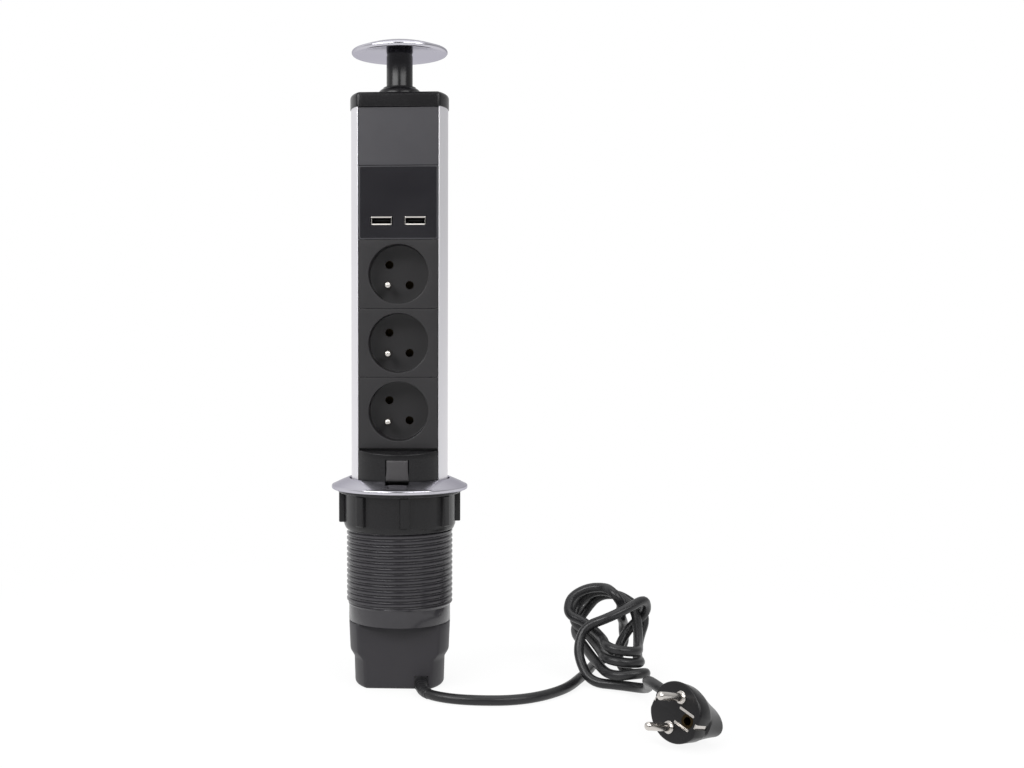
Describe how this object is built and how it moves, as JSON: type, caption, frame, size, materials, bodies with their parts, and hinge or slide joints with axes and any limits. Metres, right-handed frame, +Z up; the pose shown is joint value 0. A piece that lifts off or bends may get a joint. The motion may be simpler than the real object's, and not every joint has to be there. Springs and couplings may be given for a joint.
{
  "type": "pop-up socket tower",
  "caption": "Pull-up worktop socket tower: round sleeve with flange and clamp nut, sliding column with sockets, USB charging, pull knob, release tab, mains cord and plug.",
  "frame": {"origin": "centre of the underside of the column's base, on the column's axis, column raised", "axes": "+Z up along the column, -Y out of the sockets, +X to the right of a person facing them"},
  "size_m": [0.2358, 0.2076, 0.4275],
  "materials": {
    "anodised_silver": "satin anodised",
    "satin_metal": "satin, lightly brushed",
    "black_moulding": "fine matt moulded",
    "panel_grey": "matt",
    "label_gloss": "gloss",
    "socket_black": "matt moulded",
    "tab_grey": "matt moulded",
    "sleeve_black": "satin moulded",
    "base_black": "fine matt moulded",
    "black_rubber": "matt",
    "cord_black": "satin",
    "plug_black": "satin moulded",
    "bright_nickel": "bright plated",
    "contact_brass": "plain",
    "spring_steel": "drawn wire",
    "tongue_white": "moulded",
    "board_green": "lacquered"
  },
  "bodies": {
    "housing": {"threaded_sleeve": "sleeve_black", "flange_ring": "satin_metal", "flange_gasket": "black_rubber"},
    "slip_washer": {"slip_washer": "sleeve_black"},
    "clamp_nut": {"clamp_nut": "sleeve_black"},
    "column": {"column_extrusion": "anodised_silver", "blank_panel": "panel_grey", "usb_faceplate": "label_gloss", "usb_port_1": "bright_nickel", "usb_port_2": "bright_nickel", "usb_tongue_1": "tongue_white", "usb_tongue_2": "tongue_white", "usb_board": "board_green", "usb_box": "black_moulding", "socket_body_1": "socket_black", "socket_body_2": "socket_black", "socket_body_3": "socket_black", "earth_pin_1": "bright_nickel", "earth_pin_2": "bright_nickel", "earth_pin_3": "bright_nickel", "live_busbar": "contact_brass", "neutral_busbar": "contact_brass", "earth_strip": "contact_brass", "rear_cover": "black_moulding", "top_cap": "black_moulding", "stem_collar": "black_moulding", "stem_barrel": "black_moulding", "stem_spring": "spring_steel", "latch_carrier": "black_moulding", "base_cup": "base_black", "cord_grommet": "black_rubber", "mains_cord": "cord_black", "cord_hank": "cord_black", "cord_tail": "cord_black", "plug_body": "plug_black", "plug_boot": "black_rubber", "plug_pin_1": "bright_nickel", "plug_pin_2": "bright_nickel", "plug_earth_strip_1": "bright_nickel", "plug_earth_strip_2": "bright_nickel"},
    "knob": {"knob_disc": "satin_metal", "knob_stem": "black_moulding"},
    "release": {"release_button": "tab_grey", "latch_hook": "black_moulding"}
  },
  "joints": [
    {"name": "column_lift", "type": "slide", "parent": "housing", "child": "column", "axis": [0, 0, 1], "range_m": [-0.262, 0]},
    {"name": "knob_press", "type": "slide", "parent": "column", "child": "knob", "axis": [0, 0, 1], "range_m": [-0.0195, 0], "stiffness_N_per_m": 150, "springref_m": 0.02, "deforming": ["stem_spring"]},
    {"name": "release_press", "type": "slide", "parent": "column", "child": "release", "axis": [0, 1, 0], "range_m": [0, 0.003], "stiffness_N_per_m": 600, "springref_m": -0.004},
    {"name": "nut_travel", "type": "slide", "parent": "housing", "child": "slip_washer", "axis": [0, 0, 1], "range_m": [-0.05, 0]},
    {"name": "nut_spin", "type": "hinge", "parent": "slip_washer", "child": "clamp_nut", "pos_m": [0, 0, 0.1174], "axis": [0, 0, 1], "range_deg": [-4860, 0]}
  ],
  "couplings": [
    {"joint": "nut_travel", "follows": "nut_spin", "m_per_rad": 0.00058887}
  ]
}
